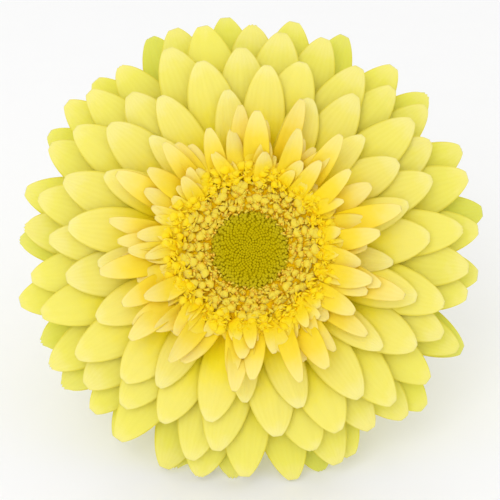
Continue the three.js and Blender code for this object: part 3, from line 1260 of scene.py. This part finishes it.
@dataclass(frozen=True)
class TransRow:
    """One row of narrow florets between the disc and the large petals."""

    name: str
    node: str
    count: int
    radius: float
    height: float
    lengths: tuple[float, float]
    widths: tuple[float, float]
    pitch: float
    curl: float
    yaw: float                 # how far they may be turned aside
    paleness: float            # 0 is golden, 1 is cream


@dataclass
class TransFlorets:
    """The narrow, pale florets round the disc."""

    head: Head
    layers: Layers
    settling: float = 1.6      # how much lower the last floret of a row stands than the first
    claw: float = 1.1
    thickness: float = 0.3
    rows: tuple[TransRow, ...] = (
        TransRow("long_trans", "trans_florets_outer", 24, 12.8, 8.6, (19.0, 24.5),
                 (4.2, 5.6), 0.74, -0.6, 0.2, 1.0),
        TransRow("outer_trans", "trans_florets_outer", 30, 13.2, 9.4, (14.5, 19.5),
                 (3.6, 4.9), 0.86, -0.8, 0.3, 0.9),
        TransRow("middle_trans", "trans_florets_outer", 30, 14.0, 10.8, (9.5, 14.0),
                 (2.8, 4.2), 0.92, -0.8, 0.4, 0.8),
        TransRow("inner_trans", "trans_florets_inner", 34, 15.2, 12.0, (6.0, 9.5),
                 (2.2, 3.2), 0.98, -1.0, 0.5, 0.4),
        TransRow("short_trans", "trans_florets_inner", 46, 16.4, 13.0, (4.0, 6.4),
                 (1.7, 2.5), 1.05, -1.5, 0.8, 0.1),
    )

    def build(self) -> None:
        """Make every row."""
        tree = BladeTree("trans ligule", Outline(0.95, 0.6), Mesh(20, 20))
        finish = Petals.TRANS.value.make()
        for salt, row in enumerate(self.rows):
            for place in range(row.count):
                self.floret(row, place, 20 * salt, tree, finish)
            log.info("%s: %d florets", row.name, row.count)

    def floret(
            self, row: TransRow, place: int, salt: int, tree: BladeTree,
            finish: bpy.types.Material) -> None:
        """Make one narrow floret.

        Args:
            row: The row it stands in.
            place: Its place in the row.
            salt: What sets the row's unevenness apart.
            tree: The tree that shapes it.
            finish: Its material.
        """
        seed = 200 + place
        turn = GOLDEN_ANGLE * (place + row.count) + 0.08 * wobble(seed, salt + 1)
        along = place / row.count
        piece = tree.piece(
            f"{row.name}_{place + 1:02d}", finish,
            length=between(*row.lengths, along) * (1 + 0.07 * wobble(seed, salt + 2)),
            width=between(*row.widths, 0.5 + 0.5 * wobble(seed, salt + 3)),
            claw=self.claw, thickness=self.thickness,
            pitch=row.pitch + 0.09 * wobble(seed, salt + 4),
            curl=row.curl + 0.3 * wobble(seed, salt + 5),
            camber=-0.35 + 0.45 * wobble(seed, salt + 6), groove=0.1,
            twist=0.45 * wobble(seed, salt + 7), sway=1.3 * wobble(seed, salt + 8),
            ripple=0.16, seed=3 * wobble(seed, salt + 9),
            tone=wobble(seed, salt + 10), rank=row.paleness)
        where = spot(
            turn, row.radius + 0.3 * wobble(seed, salt + 11),
            row.height - self.settling * (along - 0.5), row.yaw * wobble(seed, salt + 12))
        self.head.place(piece, where, "trans_floret", row.node)


@dataclass(frozen=True)
class OpenRow:
    """One ring of open florets."""

    name: str
    node: str
    radius: float
    height: float          # height of the lips' backs
    count: int
    size: float
    golden: bool = False   # golden florets show no anthers


@dataclass(frozen=True)
class OpenTrees:
    """The trees that shape the parts of an open floret."""

    lip: LipTree
    coil: LipTree
    tube: TubeTree


@dataclass
class Disc:
    """The eye of closed buds and the open florets round it."""

    head: Head
    eye_radius: float = 9.0
    eye_height: float = 12.0
    eye_rise: float = 0.95
    bud_count: int = 640
    tube_foot: float = 9.0
    tube_girth: float = 0.42
    lip: tuple[float, float] = (3.2, 2.3)        # length and width
    coil: tuple[float, float] = (2.5, 0.66)
    coil_curl: float = -4.4
    anther: tuple[float, float] = (2.5, 0.22)    # length and half width
    ring_half: float = 0.35      # how far either way a ring's florets may stand
    lip_drop: float = 1.2        # from the back of a lip down to its foot
    coil_drop: float = 0.9
    anther_drop: float = 2.4
    rows: tuple[OpenRow, ...] = (
        OpenRow("first", "disc_florets", 9.15, 13.5, 42, 0.9),
        OpenRow("second", "disc_florets", 10.6, 13.9, 44, 1.0),
        OpenRow("third", "disc_florets", 12.4, 14.1, 44, 1.05),
        OpenRow("fourth", "disc_florets", 13.8, 14.4, 44, 1.1),
        OpenRow("fifth", "trans_florets_inner", 15.2, 14.7, 62, 1.0, golden=True),
        OpenRow("sixth", "trans_florets_inner", 16.6, 15.2, 66, 1.1, golden=True),
        OpenRow("seventh", "trans_florets_inner", 18.0, 15.7, 56, 1.15, golden=True),
    )

    def build(self) -> None:
        """Make the ground, the buds and the open florets."""
        self.ground()
        self.buds()
        self.open_florets()

    def ground(self) -> None:
        """Make the tissue under the buds and under the open florets."""
        tree = GroundTree()
        eye = tree.piece(
            "eye_ground", Tissues.EYE.value.make(), outer=self.eye_radius + 0.2,
            height=self.eye_height - 0.85, rise=self.eye_rise)
        self.head.place(eye, Matrix(), "bud", "disc_buds")
        ring = tree.piece(
            "floret_ground", Tissues.GROUND.value.make(), inner=8.6, outer=18.4,
            height=12.4, rise=-0.8, thick=1.0, bumps=0.3)
        self.head.place(ring, Matrix(), "disc_floret", "disc_florets")

    def buds(self) -> None:
        """Make the spiral of closed buds."""
        tree = BudTree()
        piece = tree.piece(
            "closed_buds", Tissues.BUD.value.make(), count=self.bud_count, outer=self.eye_radius,
            spiral=0.56, height=self.eye_height, rise=self.eye_rise, tilt=0.25,
            inner_size=0.72, size_jitter=0.08, radius_jitter=0.04, tilt_jitter=0.06,
            yaw_jitter=3.0)
        self.head.place(piece, Matrix(), "bud", "disc_buds")
        log.info("closed buds: %d faces", len(piece.data.polygons))

    def open_florets(self) -> None:
        """Make the tubes, lips, coils and anthers of the open florets, ring by ring."""
        trees = OpenTrees(
            LipTree("floret lips", Mesh(12, 8)), LipTree("floret coils", Mesh(6, 8)),
            TubeTree("floret tubes"))
        cream, gold = Petals.LIP.value.make(), Petals.GOLD.value.make()
        tube, anther = Tissues.TUBE.value.make(), Tissues.ANTHER.value.make()
        for salt, row in enumerate(self.rows):
            finishes = (gold, gold, None) if row.golden else (cream, tube, anther)
            for piece in self.ring(row, 11.0 * salt, trees, *finishes):
                self.head.place(piece, Matrix(), "disc_floret", row.node)
        log.info("open florets: %d in %d rows", sum(r.count for r in self.rows), len(self.rows))

    def ring(
            self, row: OpenRow, seed: float, trees: OpenTrees, lip: bpy.types.Material,
            tube: bpy.types.Material, anther: Union[bpy.types.Material, None],
            ) -> list[bpy.types.Object]:
        """Make one ring of open florets.

        Args:
            row: The ring's sizes.
            seed: What sets its unevenness apart.
            trees: The trees that shape its pieces.
            lip: The finish of the lips and coils.
            tube: The finish of the tubes.
            anther: The finish of the anthers, or None where they don't show.

        Returns:
            The pieces.
        """
        spread = {
            "inner": row.radius - self.ring_half, "outer": row.radius + self.ring_half,
            "spiral": 1.0, "seed": seed, "inner_size": 1.0}
        lip_foot = row.height - self.lip_drop
        made = [
            trees.tube.piece(
                f"{row.name}_tubes", tube, count=row.count * 2, height=self.tube_foot,
                tall=lip_foot - self.tube_foot, girth=self.tube_girth, swell=0.25, **spread),
            trees.lip.piece(
                f"{row.name}_lips", lip, count=row.count, height=lip_foot,
                size=row.size, length=self.lip[0], wide=self.lip[1],
                yaw_jitter=0.45, size_jitter=0.2, tilt_jitter=0.25, **spread),
            trees.coil.piece(
                f"{row.name}_coils", lip, count=row.count * 2,
                height=row.height - self.coil_drop, size=row.size, length=self.coil[0],
                wide=self.coil[1], thick=0.34, curl=self.coil_curl,
                yaw_jitter=2.8, size_jitter=0.25, tilt_jitter=0.35, **spread),
        ]
        if anther:
            made.append(trees.tube.piece(
                f"{row.name}_anthers", anther, count=row.count,
                height=row.height - self.anther_drop, tall=self.anther[0],
                girth=self.anther[1], swell=0.5, tilt_jitter=0.3, yaw_jitter=3.0, **spread))
        return made


@dataclass(frozen=True)
class BractRow:
    """One row of bracts."""

    name: str
    node: str
    count: int
    start: float
    length: float
    width: float
    offset: float
    splay: float


@dataclass
class Involucre:
    """The rows of green bracts round the cup."""

    head: Head
    cup: Cup
    claw: float = 2.4
    thickness: float = 0.45
    camber: float = 0.25
    rows: tuple[BractRow, ...] = (
        BractRow("inner_bract", "involucre_inner_bracts", 26, 0.46, 10.6, 3.6, 0.55, 2.3),
        BractRow("outer_bract", "involucre_outer_bracts", 20, 0.12, 8.6, 3.7, 1.15, 1.9),
        BractRow("lower_bract", "involucre_outer_bracts", 14, -0.02, 5.6, 3.0, 1.5, 1.2),
    )

    def build(self) -> None:
        """Make every bract."""
        tree = BractTree(self.cup)
        finish = Tissues.BRACT.value.make()
        for salt, row in enumerate(self.rows):
            for place in range(row.count):
                self.bract(row, salt, place, tree, finish)
            log.info("%ss: %d", row.name, row.count)

    def bract(
            self, row: BractRow, salt: int, place: int, tree: BractTree,
            finish: bpy.types.Material) -> None:
        """Make one bract.

        Args:
            row: The row it is in.
            salt: The row's number.
            place: The bract's place in the row.
            tree: The tree that shapes it.
            finish: Its material.
        """
        seed = 400 + 60 * salt + place
        turn = math.tau * (place + 0.5 * salt + 0.12 * wobble(seed, 1)) / row.count
        piece = tree.piece(
            f"{row.name}_{place + 1:02d}", finish, start=row.start,
            length=row.length * (1 + 0.1 * wobble(seed, 2)),
            width=row.width * (1 + 0.08 * wobble(seed, 3)), claw=self.claw,
            offset=row.offset, splay=row.splay + 0.5 * wobble(seed, 4),
            thickness=self.thickness, camber=self.camber, sway=0.4 * wobble(seed, 5),
            tone=wobble(seed, 6))
        self.head.place(piece, spot(turn, 0, 0), "bract", row.node)


class StemTree(ShapeTree):
    """The cup, the bend and the long straight stem as one skin, in the frame's own axes."""

    TOP_ENDS, WALL_ENDS, CUP_ENDS, STEM_ENDS = 0.02, 0.04, 0.16, 0.985
    RIBS = 9.0

    def __init__(self, cup: Cup, tilt: float) -> None:
        """Make the tree.

        Args:
            cup: The cup at its top.
            tilt: How far up the face looks, in radians.
        """
        super().__init__("stem skin", {
            "y": 0.0, "z": 47.0, "cut_radius": 3.7, "length": 230.0, "bow": 5.0,
            "bend": 100.0, "rib": 0.06, "uneven": 0.1})
        flat, turn, share = self.sheet(40, 170)
        wall = share.part(self.TOP_ENDS, self.WALL_ENDS)
        climb = 1.0 - share.part(self.WALL_ENDS, self.CUP_ENDS)
        length = share.part(self.CUP_ENDS, self.STEM_ENDS) * self.take("length")
        bend = self.take("bend")
        passed = (length / (bend * tilt)).least(1.0)
        dip = (1.0 - passed) * tilt
        height = cup.bottom + climb * cup.depth
        height = height + (1.0 - wall) * (cup.top - cup.bottom - cup.depth)
        beyond = (length - bend * tilt).most(0.0)
        y = self.take("y") - height * math.cos(tilt)
        y = y + bend * (math.sin(tilt) - dip.sin()) + beyond
        z = self.take("z") + height * math.sin(tilt) - bend * (dip.cos() - math.cos(tilt))
        bow = self.take("bow") * (1.0 - (length / self.take("length") * math.tau).cos()) * 0.5
        ribs = (turn * self.RIBS + (length * 0.01).sin()).cos() * self.take("rib")
        waver = (length * 0.11 + (turn + length * 0.05).sin()).sin() * self.take("uneven")
        radius = cup.radius_at(climb) + (self.take("cut_radius") - cup.neck) * passed
        radius = radius + (ribs + waver) * passed
        ends = share.part(0.0, self.TOP_ENDS)
        radius = radius * ends * (1.0 - share.part(self.STEM_ENDS, 1.0))
        place = self.vector(
            bow + radius * turn.cos(),
            y - radius * dip.sin() * turn.sin(),
            z - radius * dip.cos() * turn.sin())
        closed = self.close(flat, place)
        self.end(self.keep(closed, "tone", (length * 0.05).sin()))


@dataclass
class Stem:
    """The bare stem with the receptacle at its top."""

    head: Head
    cup: Cup
    length: float = 230.0
    cut_radius: float = 3.6
    fixed_cut_radius: float = 3.8
    flat_sides: int = 14

    def build(self) -> None:
        """Make the stem."""
        centre = self.head.centre() / MM
        flat = self.fixed_cut_radius * math.cos(math.pi / self.flat_sides)
        neck_z = centre.z + self.cup.bottom * math.sin(self.head.tilt)
        bend = (neck_z - flat) / (1 - math.cos(self.head.tilt))
        tree = StemTree(self.cup, self.head.tilt)
        piece = tree.piece(
            "stem_and_cup", Tissues.STEM.value.make(), y=centre.y, z=centre.z, bend=bend,
            length=self.length, cut_radius=self.cut_radius)
        piece.data.transform(Matrix.Scale(MM, 4))
        piece.data.transform(Matrix.Translation((centre.x * MM, 0, 0)))
        settle(piece, "stem", "stem")
        log.info("stem: %.0f mm from the neck to the cut", self.length)


# ------------------------------------------------------------------------------- stage


@dataclass
class Stage:
    """A plain pale floor, a soft light from above and a camera that looks into the face."""

    head: Head
    distance: float = 0.3285
    lens: float = 100.0
    floor_size: float = 6.0
    floor_colour: Colour = (0.95, 0.95, 0.95)
    floor_specks: float = 60.0     # to a metre
    floor_shade: float = 0.985     # how dark a speck is beside the floor
    sky: float = 0.92
    key_power: float = 4.5
    key_size: float = 0.9
    key_from: tuple[float, float, float] = (-0.3, -0.95, 0.85)

    def build(self) -> None:
        """Make the floor, the lights and the camera."""
        self.floor()
        self.lights()
        self.camera()
        log.info("stage: floor, key light and camera")

    def floor(self) -> None:
        """Lay the floor."""
        half = self.floor_size / 2
        mesh = bpy.data.meshes.new("floor")
        corners = [(-half, -half, 0), (half, -half, 0), (half, half, 0), (-half, half, 0)]
        mesh.from_pydata(corners, [], [(0, 1, 2, 3)])
        surface = Surface("floor paint")
        surface.fix(Roughness=0.9, Specular_IOR_Level=0.1)
        specks = surface.grain(self.floor_specks)
        surface.colour(surface.lay(
            specks, self.floor_colour, tuple(c * self.floor_shade for c in self.floor_colour)))
        mesh.materials.append(surface.material)
        piece = bpy.data.objects.new("floor", mesh)
        bpy.context.scene.collection.objects.link(piece)

    def lights(self) -> None:
        """Hang the key light and set the even light from all round."""
        lamp = bpy.data.lights.new("key", "AREA")
        lamp.shape = "DISK"
        lamp.size = self.key_size
        lamp.energy = self.key_power
        key = bpy.data.objects.new("key", lamp)
        bpy.context.scene.collection.objects.link(key)
        target = self.head.centre()
        key.location = target + Vector(self.key_from)
        key.rotation_euler = (target - key.location).to_track_quat("-Z", "Y").to_euler()
        world = bpy.data.worlds.new("studio")
        world.use_nodes = True
        world.node_tree.nodes["Background"].inputs["Color"].default_value = (1, 1, 1, 1)
        world.node_tree.nodes["Background"].inputs["Strength"].default_value = self.sky
        bpy.context.scene.world = world

    def camera(self) -> None:
        """Point the camera at the middle of the face."""
        eye = bpy.data.cameras.new("camera")
        eye.lens = self.lens
        eye.sensor_width = 36
        eye.clip_start, eye.clip_end = 0.01, 20
        piece = bpy.data.objects.new("camera", eye)
        bpy.context.scene.collection.objects.link(piece)
        piece.location = self.head.centre() + self.head.face() * self.distance
        piece.rotation_euler = (math.pi / 2 - self.head.tilt, 0, 0)
        bpy.context.scene.camera = piece
        bpy.context.scene.view_settings.view_transform = "Standard"


def main() -> None:
    """Build the flower and its stage, in order."""
    logging.basicConfig(level=logging.INFO, format="%(name)s: %(message)s")
    head, cup = Head(), Cup()
    layers = Layers()
    Stem(head, cup).build()
    Involucre(head, cup).build()
    RayFlorets(head, layers).build()
    TransFlorets(head, layers).build()
    Disc(head).build()
    Stage(head).build()


if __name__ == "__main__":
    main()
